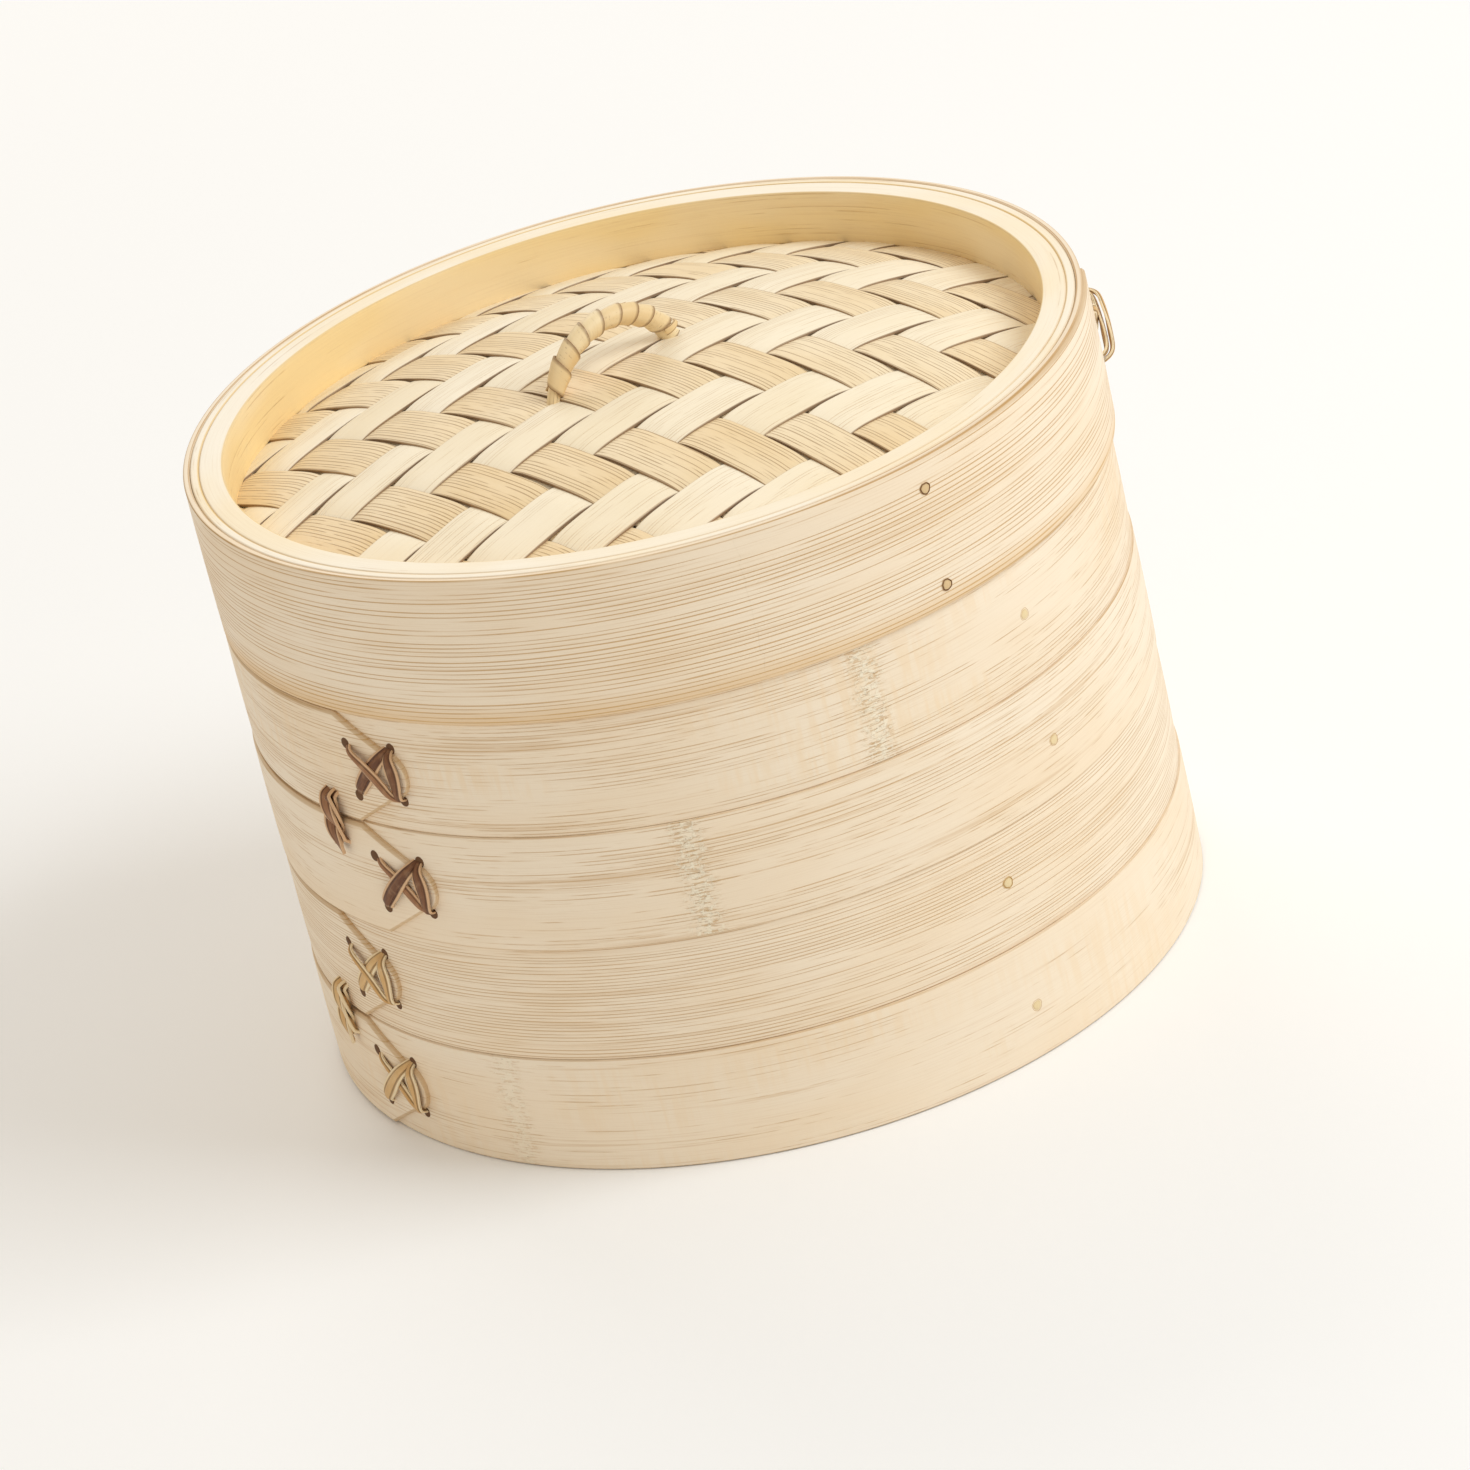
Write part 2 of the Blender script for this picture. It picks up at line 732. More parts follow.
def revolved(
    outline: Array, near: Array, shift: float = 0.0, wave: float = 0.0, inside: float = 0.0
) -> Patch:
    """A ring: an outline of radii and heights turned about the vertical axis.

    Its distance across the fibres is the height above its foot on its outer face.

    Args:
        outline: the radii and heights.
        near: the CUT mark of each point.
        shift: added to the distance across the fibres, so that no two hoops look alike.
        wave: how far the ring strays outwards from a true circle.
        inside: TONE mark of its inner face.

    Returns:
        The patch.
    """
    angle = np.linspace(-np.pi, np.pi, RING_STEPS, endpoint=False)[:, None]
    radius = outline[None, :, 0] + stray(angle, wave, shift)
    points = around(radius, angle, outline[None, :, 1])
    along = np.linspace(-np.pi, np.pi, RING_STEPS + 1) * outline[:, 0].max()
    across = lengths(outline)
    level = np.argmax(outline[:, 0])
    across += outline[level, 1] - outline[:, 1].min() - across[level] + shift
    tone = np.where(outline[:, 0] < outline[:, 0].min() + INNER_FACE, inside, 0.0)
    marks = marked(points.shape[:2], near, tone)
    return Patch(points, plain_uv(along, across), True, marks)


def swept(
    path: Array, outward: Array, section: Array, width, cut: Array, tone: float, twist=0.0
) -> Patch:
    """A strip: a cross-section carried along a path.

    At each point the section's first axis lies across the path, along the cross product of the
    outward direction and the tangent, and its second axis points outwards. Both turn about the
    tangent by the twist.

    Args:
        path: points of the middle line.
        outward: the outward direction at each point.
        section: closed loop of widths and heights.
        width: factor on the section's width at each point.
        cut: the CUT mark of each point of the section.
        tone: the strip's TONE mark.
        twist: angle in radians at each point.

    Returns:
        The patch.
    """
    tangent = unit(np.gradient(path, axis=0))
    side = unit(np.cross(outward, tangent))
    up = np.cross(tangent, side)
    twist = np.broadcast_to(np.asarray(twist, float), len(path))[:, None]
    turned = side * np.cos(twist) + up * np.sin(twist)
    raised = up * np.cos(twist) - side * np.sin(twist)
    width = np.broadcast_to(np.asarray(width, float), len(path))[:, None, None]
    points = (
        path[:, None]
        + turned[:, None] * section[None, :, :1] * width
        + raised[:, None] * section[None, :, 1:]
    )
    steps = np.linalg.norm(np.diff(path, axis=0), axis=-1)
    along = np.concatenate([[0.0], np.cumsum(steps)])
    marks = marked(points.shape[:2], cut, tone)
    return Patch(points, plain_uv(along, lengths(section)), False, marks)


class Piece:
    """Gathers patches and makes one finished object of them."""

    def __init__(self, name: str) -> None:
        """Starts an empty piece."""
        self.name = name
        self.patches: list[tuple[Patch, int]] = []

    def add(self, patch: Patch, finish: int = 0) -> None:
        """Adds a patch, with the number of its finish."""
        self.patches.append((patch, finish))

    def build(self, body: Body, finishes: list, replaces: list[str]) -> bpy.types.Object:
        """Makes the mesh, dresses it, and hangs it on its body.

        Args:
            body: the body that it moves with.
            finishes: finishes in the order of their numbers.
            replaces: CAD nodes that it stands for.

        Returns:
            The object.
        """
        points, corners, totals, uvs, slots, first = [], [], [], [], [], 0
        for patch, number in self.patches:
            groups, group_uvs = patch.faces()
            points.append(patch.points.reshape(-1, 3))
            for group, uv in zip(groups, group_uvs):
                corners.append(group.ravel() + first)
                totals.append(np.full(len(group), group.shape[1]))
                uvs.append(uv.reshape(-1, 2))
                slots.append(np.full(len(group), number))
            first += len(points[-1])
        points, corners = np.concatenate(points), np.concatenate(corners)
        totals, slots = np.concatenate(totals), np.concatenate(slots)
        mesh = bpy.data.meshes.new(self.name)
        mesh.vertices.add(len(points))
        mesh.vertices.foreach_set("co", (points * MM).astype(np.float32).ravel())
        mesh.loops.add(len(corners))
        mesh.loops.foreach_set("vertex_index", corners.astype(np.int32))
        mesh.polygons.add(len(totals))
        starts = np.concatenate([[0], np.cumsum(totals)[:-1]])
        mesh.polygons.foreach_set("loop_start", starts.astype(np.int32))
        mesh.polygons.foreach_set("loop_total", totals.astype(np.int32))
        mesh.polygons.foreach_set("material_index", slots.astype(np.int32))
        layer = mesh.uv_layers.new(name="UVMap")
        mesh.update(calc_edges=True)
        layer.data.foreach_set("uv", np.concatenate(uvs).astype(np.float32).ravel())
        for mark in Mark:
            values = [
                np.broadcast_to(p.marks.get(mark, 0.0), p.points.shape[:2]).ravel()
                for p, _ in self.patches
            ]
            attribute = mesh.attributes.new(mark.value, "FLOAT", "POINT")
            attribute.data.foreach_set("value", np.concatenate(values).astype(np.float32))
        mesh.polygons.foreach_set("use_smooth", np.ones(len(totals), bool))
        mesh.set_sharp_from_angle(angle=SHARP_ANGLE)
        mesh.validate()
        for finish in finishes:
            mesh.materials.append(finish.make())
        made = bpy.data.objects.new(self.name, mesh)
        bpy.context.scene.collection.objects.link(made)
        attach(made, body.value)
        if replaces:
            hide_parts(*replaces)
        LOG.info("%s: %d vertices, %d faces", self.name, len(points), len(totals))
        return made


# ---------------------------------------------------------------- bentwood bands


@dataclass
class Band:
    """A bent band, and its overlapping end with an arrow tip."""

    inner: float
    outer: float
    low: float
    high: float
    tip: float
    proud: float
    shift: float = 0.0
    corner: float = 0.35
    tip_length: float = 18.0
    nose: float = 5.8
    nose_run: float = 5.0
    lap_margin: float = 0.25
    lap_reach: float = math.radians(92)
    sunk: float = 0.5
    wave: float = 0.12

    def ring(self) -> Patch:
        """The band itself: a rectangle with softened corners and a slight crown outside.

        Returns:
            The patch.
        """
        corners = hoop_corners(self.inner, self.outer, self.low, self.high)
        outline, near = rounded(corners, self.corner, 4, 5)
        middle, half = (self.low + self.high) / 2, (self.high - self.low) / 2
        share = 1 - ((outline[:, 1] - middle) / half) ** 2
        outside = outline[:, 0] > (self.inner + self.outer) / 2
        outline[:, 0] += np.where(outside, 0.12 * share, 0)
        return revolved(outline, near * 0.8, self.shift, self.wave)

    def lap(self) -> Patch:
        """The overlapping end, a thin curved plate on the band that thins out to the left.

        Its half height grows as a quarter ellipse over the nose and then in a straight line to
        the band's edge. It stands out by the cosine of the angle from the tip. Its edges are
        softened, and marked as cut.

        Returns:
            The patch.
        """
        fine = np.array([0.1, 0.25, 0.5, 0.9, 1.4, 2.0, 2.8, 3.8, 5.0])
        straight = np.linspace(self.nose_run, self.tip_length, 14)[1:]
        rest = np.linspace(self.tip_length, self.lap_reach * self.outer, 60)[1:]
        s = np.concatenate([fine, straight, rest])
        full = (self.high - self.low) / 2 - self.lap_margin
        nose = self.nose * np.sqrt(1 - (1 - np.minimum(s / self.nose_run, 1)) ** 2)
        rise = (s - self.nose_run) / (self.tip_length - self.nose_run)
        half = nose + (full - self.nose) * np.clip(rise, 0, 1)
        inset = np.array([0.0, 0.3, 0.75, 1.0, 1.8])
        inset = inset[None, :] * (half / (half + 1.0))[:, None]
        middle = np.linspace(-1, 1, 7)[None, 1:-1] * (half[:, None] - inset[:, -1:])
        across = np.concatenate(
            [inset - half[:, None], middle, half[:, None] - inset[:, ::-1],
             half[:, None], -half[:, None]], axis=1,
        )
        soft = np.array([0.55, 0.3, 0.05, 0.0, 0.0])
        drop = np.concatenate([soft, np.zeros(5), soft[::-1]])
        stand = self.proud * np.cos(s / self.outer)
        nose_drop = 0.25 * np.clip(1 - s / 0.5, 0, 1) ** 2
        share = 1 - (across[:, :-2] / (full + self.lap_margin)) ** 2
        angle = self.tip - s / self.outer
        outer = self.outer + 0.12 * share + stray(angle, self.wave, self.shift)[:, None]
        outer = outer + (stand - nose_drop)[:, None]
        outer = outer - drop[None] * (stand / self.proud)[:, None]
        sunk = np.full((len(s), 2), self.outer - self.sunk)
        radius = np.concatenate([outer, sunk], axis=1)
        points = around(radius, angle[:, None], (self.low + self.high) / 2 + across)
        edge = np.array([1.0, 1.0, 0.8, 0.0, 0.0])
        cut = np.concatenate([edge, np.zeros(5), edge[::-1], [1.0, 1.0]])
        cut = np.maximum(cut[None], np.clip(1 - s / 0.6, 0, 1)[:, None])
        cut = cut * np.clip(1.6 * stand / self.proud - 0.3, 0, 1)[:, None]
        wrapped = np.concatenate([across, across[:, :1]], axis=1)
        uv = np.stack([
            np.broadcast_to((angle * self.outer)[:, None], wrapped.shape),
            wrapped + full + self.lap_margin + self.shift,
        ], -1)
        return Patch(points, uv, False, {Mark.CUT: cut})


@dataclass
class Lacing:
    """One lacing: two crossed strips and an upright over the end of a band."""

    angle: float
    height: float
    surface: float
    proud: float
    finish: Cane
    tones: tuple[float, float, float] = (0.1, 0.55, 0.2)
    spread: float = 12.5
    rise: float = 12.8
    thickness: float = 0.7
    sink: float = 1.7
    thin_width: float = 2.7
    upright_width: float = 3.3
    wide_width: float = 3.9
    loop_width: float = 1.7
    loop: float = 0.0
    thin_on_top: bool = False

    def strip(
        self, start: tuple[float, float], end: tuple[float, float], lift: float,
        width: float, tone: float, bow: float = 0.0, twist: float = 0.0,
    ) -> Patch:
        """A strip that comes out of one hole and goes into another.

        Its middle line is straight, with a bow of half a sine wave. Its distance from the band
        is the lift less a tenth power of the distance from its middle, which sinks both ends
        into their holes. Its width is narrowest in the holes.

        Args:
            start, end: holes, as distances along the band and up from the lacing's middle.
            lift: distance from the band at the middle.
            width: full width.
            tone: the strip's tone.
            bow: sideways bow of the middle.
            twist: how far it leans at the middle, in radians.

        Returns:
            The patch.
        """
        t = np.linspace(0, 1, 44)
        a, b = np.array(start), np.array(end)
        side = unit(np.array([a[1] - b[1], b[0] - a[0]]))
        flat = a + (b - a) * t[:, None] + side * (bow * np.sin(np.pi * t))[:, None]
        far = np.abs(2 * t - 1)
        out = lift + 0.35 * np.sin(np.pi * t) - (lift + self.sink) * far**9
        angle = self.angle + flat[:, 0] / self.surface
        path = around(self.surface + out, angle, self.height + flat[:, 1])
        outward = around(np.ones_like(t), angle, 0.0)
        section, _ = rounded(UNIT_STRIP, 0.1, 2, 5)
        section = section * [1.0, self.thickness]
        section[:, 1] += 0.25 * np.cos(2 * np.pi * section[:, 0]) * (section[:, 1] > 0)
        cut = np.abs(section[:, 0]) * 2
        wide = width * (0.42 + 0.58 * np.sin(np.pi * t) ** 0.6)
        return swept(path, outward, section, wide, cut, tone, twist * np.sin(2 * np.pi * t))

    def hole(self, across: float, up: float, radius: float = 1.15) -> Patch:
        """The dark of a hole: a low dome whose height is a parabola of its radius.

        Args:
            across, up: where it is.
            radius: its radius.

        Returns:
            The patch.
        """
        turn = np.linspace(0, 2 * np.pi, 20, endpoint=False)[None, :]
        size = np.array([1.0, 0.8, 0.45, 0.05])[:, None] * radius
        x = across + size * np.cos(turn)
        z = up + size * 1.15 * np.sin(turn)
        radial = self.surface + self.hole_base(across) + 0.1 * (1 - (size / radius) ** 2)
        radial = np.concatenate([np.full((1, 20), self.surface - 0.4),
                                 np.broadcast_to(radial, x.shape)])
        x, z = np.concatenate([x[:1], x]), np.concatenate([z[:1], z])
        points = around(radial, self.angle + x / self.surface, self.height + z)
        return Patch(points, plain_uv(np.arange(5.0), np.arange(21.0)))

    def hole_base(self, across: float) -> float:
        """Distance from the bare band to what the hole is in: the lap's face on its left."""
        return self.proud + 0.1 if across < 0 else 0.1

    def patches(self) -> list[tuple[Patch, int]]:
        """The strips, with finish 0, and the holes, with finish 1.

        Returns:
            The patches.
        """
        x, z = self.spread / 2, self.rise / 2
        first, second, third = self.tones
        low, high = self.proud + 0.55, self.proud + 1.3
        crossing = (high, low) if self.thin_on_top else (low, high)
        strips = [
            self.strip((-x, z), (x, -z), crossing[0], self.thin_width, first, 1.3, 0.1),
            self.strip(
                (x - 0.4, z), (x - 0.2, -z), self.proud + 0.8, self.upright_width, third, 0.9, -0.16
            ),
            self.strip(
                (-x, -z), (x - 0.6, z), crossing[1], self.wide_width, second, 0.4, 0.16
            ),
        ]
        if self.loop:
            lift = self.proud + self.loop
            strips.append(
                self.strip((x, z), (-x, -z - 1.0), lift, self.loop_width, first, -2.2, 0.3)
            )
        holes = [self.hole(i * x, k * z) for i in (-1, 1) for k in (-1, 1)]
        return [(s, 0) for s in strips] + [(h, 1) for h in holes]


@dataclass
class Knot:
    """The bundle that ties the two bands of a tier together over their seam."""

    angle: float
    height: float
    surface: float
    proud: float
    length: float = 13.5
    strands: int = 3

    def strand(self, number: int) -> Patch:
        """One strand of the bundle.

        The strands wind about the bundle's middle line as a helix, four fifths of a turn long,
        one third of a turn from each other. Their tops sink into a hole, and their lower ends
        spread out.

        Args:
            number: which strand this is.

        Returns:
            The patch.
        """
        t = np.linspace(-0.05, 1.04, 52)
        turn = 2 * np.pi * (0.8 * t + number / self.strands)
        fray = np.clip((t - 0.82) / 0.2, 0, None)
        x = 1.3 * np.sin(turn) * (1 - 0.4 * fray) + (number - 1) * 1.3 * fray**1.5
        z = self.length / 2 - self.length * t - 0.6 * fray * (number % 2)
        out = self.proud + 1.05 + 0.75 * np.cos(turn)
        dive = np.clip((0.09 - t) / 0.09, 0, 1) ** 2 * 3.2
        out = out - dive - 1.1 * np.clip(fray, 0, 1) * (number != 1)
        angle = self.angle + x / self.surface
        path = around(self.surface + out, angle, self.height + z)
        outward = around(np.ones_like(t), self.angle, 0.0)
        section, _ = rounded(UNIT_STRIP, 0.15, 3, 4)
        section = section * [1.0, 0.75]
        width = 3.3 * (0.75 + 0.25 * np.sin(np.pi * np.clip(t, 0, 1))) * (1 - 0.15 * ease(fray))
        lean = 0.5 * np.sin(turn)
        cut = np.abs(section[:, 0]) * 2
        return swept(path, outward, section, width, cut, 0.15 + 0.25 * number, lean)


@dataclass
class Peg:
    """The end of a bamboo peg, in its hole in a band."""

    angle: float
    height: float
    surface: float
    radius: float = 1.15

    def patch(self) -> Patch:
        """A disc with a low dome and a dark groove round it.

        Its outline goes from a sunk foot up to a rim, down into the groove and over the dome,
        as heights over a list of radii, turned about the peg's own axis.

        Returns:
            The patch.
        """
        size = np.array([1.2, 1.2, 1.12, 1.04, 0.97, 0.88, 0.6, 0.3, 0.03]) * self.radius
        out = np.array([-0.5, 0.12, 0.16, 0.02, 0.06, 0.2, 0.25, 0.28, 0.29])
        cut = np.array([0.6, 0.4, 1.0, 1.0, 1.0, 0.2, 0.0, 0.0, 0.0])
        turn = np.linspace(0, 2 * np.pi, 28, endpoint=False)
        ragged = 1 + 0.05 * np.sin(3 * turn + self.height) + 0.03 * np.sin(7 * turn)
        x = size[:, None] * np.cos(turn) * ragged
        z = size[:, None] * np.sin(turn) * ragged
        points = around(self.surface + out[:, None], self.angle + x / self.surface,
                        self.height + z)
        wrapped = np.stack([np.concatenate([z, z[:, :1]], 1), np.concatenate([x, x[:, :1]], 1)], -1)
        marks = marked(x.shape, cut[:, None])
        return Patch(points, wrapped, False, marks)


# ---------------------------------------------------------------- tiers


@dataclass
class Tier:
    """A tier: two bands outside, two hoops inside, and a floor of slats on two cross bars."""

    body: Body
    turn: float
    top_finish: Bamboo
    base_finish: Bamboo
    tie: Cane
    tie_tones: tuple[float, float, float]
    hoop: float = 98.0
    top_proud: float = 2.6
    base_proud: float = 3.0
    lap: float = 1.2
    tip: float = -41.5
    lace_back: float = 9.5
    knot_at: float = -56.0
    peg_at: float = 43.5
    peg_back: float = 223.5
    base_peg_up: float = 12.2
    top_peg_up: float = 15.2
    lining: float = 4.4
    rim_relief: float = 0.4
    slat_gap: float = 1.4
    bar_gap: float = 0.1
    edge: float = 0.5

    def node(self, piece: str) -> str:
        """The CAD node of one of this tier's pieces."""
        return f"{self.body.value}_{piece}"

    def turned(self, degrees: float) -> float:
        """An angle of a tier that isn't turned, in radians on this tier."""
        return math.radians(degrees + self.turn)

    def bands(self) -> list[Band]:
        """The base band and the top band."""
        tip = self.turned(self.tip)
        made = []
        for piece, proud in (("base_band", self.base_proud), ("top_band", self.top_proud)):
            low, high = span(self.node(piece))
            shift = 3.1 * low
            made.append(Band(self.hoop, self.hoop + proud, low, high, tip, self.lap, shift))
        return made

    def build_bands(self) -> None:
        """Makes both bands with their overlapping ends."""
        for band, name, finish in zip(
            self.bands(), ("base_band", "top_band"), (self.base_finish, self.top_finish)
        ):
            piece = Piece(f"{self.body.value}_{name}_bent")
            piece.add(band.ring())
            piece.add(band.lap())
            piece.build(self.body, [finish], [self.node(name)])

    def build_ties(self) -> None:
        """Makes the lacing of each band, and the knot over their seam."""
        base, top = self.bands()
        for band, name in ((base, "base_lacing"), (top, "top_lacing")):
            surface = band.outer + 0.1
            angle = self.turned(self.tip) - self.lace_back / band.outer
            lacing = Lacing(
                angle, (band.low + band.high) / 2, surface, self.lap, self.tie, self.tie_tones,
                thin_on_top=name == "top_lacing",
            )
            piece = Piece(f"{self.node(name)}_strips")
            for patch, finish in lacing.patches():
                piece.add(patch, finish)
            piece.build(self.body, [self.tie, HOLE], [self.node(name)])
        knot = Knot(self.turned(self.knot_at), base.high, base.outer, self.lap)
        piece = Piece(f"{self.node('seam_knot')}_strands")
        for number in range(knot.strands):
            piece.add(knot.strand(number))
        piece.build(self.body, [self.tie], [self.node("seam_knot")])

    def build_hoops(self) -> None:
        """Makes the wall hoop, whose chamfered rim stands above the bands, and the floor ring."""
        low, high = span(self.node("wall_hoop"))
        _, band_top = span(self.node("top_band"))
        inner, rim = self.hoop - self.lining, self.hoop - self.rim_relief
        corners = [
            (self.hoop, low), (self.hoop, band_top), (rim, band_top),
            (rim, high), (inner, high), (inner, low),
        ]
        outline, near = rounded(corners, [0.3, 0.15, 0.15, 0.9, 0.9, 0.3], 4, 1)
        piece = Piece(f"{self.node('wall_hoop')}_bent")
        piece.add(revolved(outline, near * 0.5, 2.0 * low))
        piece.build(self.body, [LINING], [self.node("wall_hoop")])
        low, high = span(self.node("floor_ring"))
        outline, near = rounded(hoop_corners(inner, self.hoop, low, high), self.edge, 3)
        piece = Piece(f"{self.node('floor_ring')}_bent")
        piece.add(revolved(outline, near * 0.5, 1.3 * low + 40.0))
        piece.build(self.body, [LINING], [self.node("floor_ring")])

    def bar(self, name: str, crosswise: bool, reach: float, tone: float) -> Patch:
        """A straight bar with softened edges, whose ends follow the hoop.

        Each line of its cross-section runs between the two points where it meets a circle.

        Args:
            name: the CAD node that it lies in.
            crosswise: whether it runs along the tier's own Y, as the cross bars do.
            reach: radius of the circle.
            tone: its tone.

        Returns:
            The patch.
        """
        vertices = bpy.data.objects[name].data.vertices
        flat = np.empty(3 * len(vertices), np.float32)
        vertices.foreach_get("co", flat)
        x, y, z = flat.reshape(-1, 3).astype(float).T / MM
        turn = math.radians(self.turn)
        own = turned_flat(x, y, z, -turn)
        low, high = own.min(0), own.max(0)
        across = 0 if crosswise else 1
        sides = (low[across], high[across])
        section, near = rounded(rectangle(sides, (low[2], high[2])), self.edge, 3, 3)
        run = np.linspace(-1, 1, 40)[:, None]
        length = np.sqrt(reach**2 - section[None, :, 0] ** 2) * run
        level = np.broadcast_to(section[None, :, 1], length.shape)
        lateral = np.broadcast_to(section[None, :, 0], length.shape)
        u, v = (lateral, length) if crosswise else (length, lateral)
        uv = plain_uv(run[:, 0] * reach, lengths(section))
        return Patch(turned_flat(u, v, level, turn), uv, False, marked(u.shape, near * 0.5, tone))

    def build_floor(self) -> None:
        """Makes the slats and the cross bars under them."""
        nodes = sorted(n for n in bpy.data.objects.keys() if n.startswith(self.node("slat_")))
        draw = np.random.default_rng(11 + len(self.body.value))
        for name in nodes:
            piece = Piece(f"{name}_split")
            tone = float(draw.uniform(0.0, 0.6))
            piece.add(self.bar(name, False, self.hoop - self.slat_gap, tone))
            piece.build(self.body, [SLAT], [name])
        for number in (1, 2):
            name = self.node(f"cross_bar_{number}")
            piece = Piece(f"{name}_split")
            piece.add(self.bar(name, True, self.hoop - self.bar_gap, 0.5 + 0.1 * number))
            piece.build(self.body, [SLAT], [name])

    def build_pegs(self) -> None:
        """Makes the four peg ends."""
        base, top = self.bands()
        piece = Piece(f"{self.node('pegs')}_ends")
        for degrees in (self.peg_at, self.peg_back):
            for band, up in ((base, self.base_peg_up), (top, self.top_peg_up)):
                piece.add(Peg(self.turned(degrees), band.low + up, band.outer + 0.1).patch())
        piece.build(self.body, [PALE_PEG], [self.node("pegs")])

    def build(self) -> None:
        """Makes the whole tier."""
        self.build_bands()
        self.build_hoops()
        self.build_floor()
        self.build_ties()
        self.build_pegs()


# ---------------------------------------------------------------- lid


@dataclass
class Weave:
    """The lid's woven mat: two sets of flat strips, each over two and under two of the other.

    The strips lie on a sphere. Each rises and falls about it as a sine of its length, with a
    period of four crossing strips, squared off by a hyperbolic tangent.
    """

    crown: float
    turn: float = math.radians(35)
    rise: float = 14.5
    clamp: float = 92.6
    weft_first: float = -5.3
    weft_pitch: float = 13.6
    warp_first: float = -0.7
    warp_pitch: float = 12.8
    reach: float = 97.2
    swing: float = 0.6
    thickness: float = 0.72
    gap: float = 0.55
    most: int = 8
    least_place: float = 5.0
    seed: int = 5

    def __post_init__(self) -> None:
        """Works out the sphere: its radius from the rise over the clamped circle."""
        self.sphere = (self.clamp**2 + self.rise**2) / (2 * self.rise) - 1.0
        self.centre = self.crown - 1.0 - self.sphere
        self.draw = np.random.default_rng(self.seed)

    def strip(self, weft: bool, number: int, tone: float) -> Patch:
        """One strip.

        Args:
            weft: whether it is one of the pale strips, which run along the weave's first axis.
            number: which strip this is.
            tone: its tone.

        Returns:
            The patch.
        """
        pitch = self.warp_pitch if weft else self.weft_pitch
        own = self.weft_pitch if weft else self.warp_pitch
        first = self.warp_first if weft else self.weft_first
        place = self.weft_first - own * number if weft else self.warp_first + own * number
        place += float(self.draw.uniform(-0.12, 0.12))
        width = own - self.gap - float(self.draw.uniform(0.0, 0.35))
        sides = (-width / 2, width / 2)
        section, near = rounded(rectangle(sides, (-0.5, 0.5)), 0.22, 3, 4)
        near = np.maximum(near, np.abs(section[:, 0]) > width / 2 - 0.02)
        lateral = section[:, 0]
        crown = 0.22 * (1 - (2 * lateral / width) ** 2) - 0.08
        thick = section[:, 1] * self.thickness + crown
        across = np.clip(place + lateral, -self.reach + 0.3, self.reach - 0.3)
        run = np.linspace(-1, 1, 150)[:, None]
        along = np.sqrt(self.reach**2 - across[None] ** 2) * run
        # A pale strip is on top where the crossing strip's number less its own is 1 or 2, round
        # by fours, and a darker strip is on top at the other crossings.
        start = first + pitch * (number + 0.5 if weft else -number - 1.5)
        swing = np.sin(2 * np.pi * (along - start) / (4 * pitch))
        height = self.swing * np.tanh(2.6 * swing) / np.tanh(2.6)
        wobble = 0.1 * np.sin(along / 31 + 6 * tone)
        sideways = np.broadcast_to(across[None] + wobble, along.shape)
        level = np.sqrt(self.sphere**2 - along**2 - sideways**2) + self.centre + height + thick
        u, v = (along, sideways) if weft else (sideways, along)
        uv = plain_uv(run[:, 0] * self.reach, lengths(section))
        points = turned_flat(u, v, level, self.turn)
        return Patch(points, uv, False, marked(u.shape, near, tone))

    def strips(self, weft: bool) -> list[Patch]:
        """All strips of one kind: paler tones for the weft, and darker ones to the left.

        Args:
            weft: whether they are the pale strips.

        Returns:
            The patches.
        """
        own = self.weft_pitch if weft else self.warp_pitch
        first = self.weft_first if weft else self.warp_first
        sign = -1 if weft else 1
        made = []
        for number in range(-self.most, self.most + 1):
            place = first + sign * own * number
            if abs(place) > self.reach - self.least_place:
                continue
            tone = float(self.draw.uniform(0.0, 0.35))
            if not weft:
                tone += 0.42 - 0.4 * place / self.reach
            made.append(self.strip(weft, number, tone))
        return made


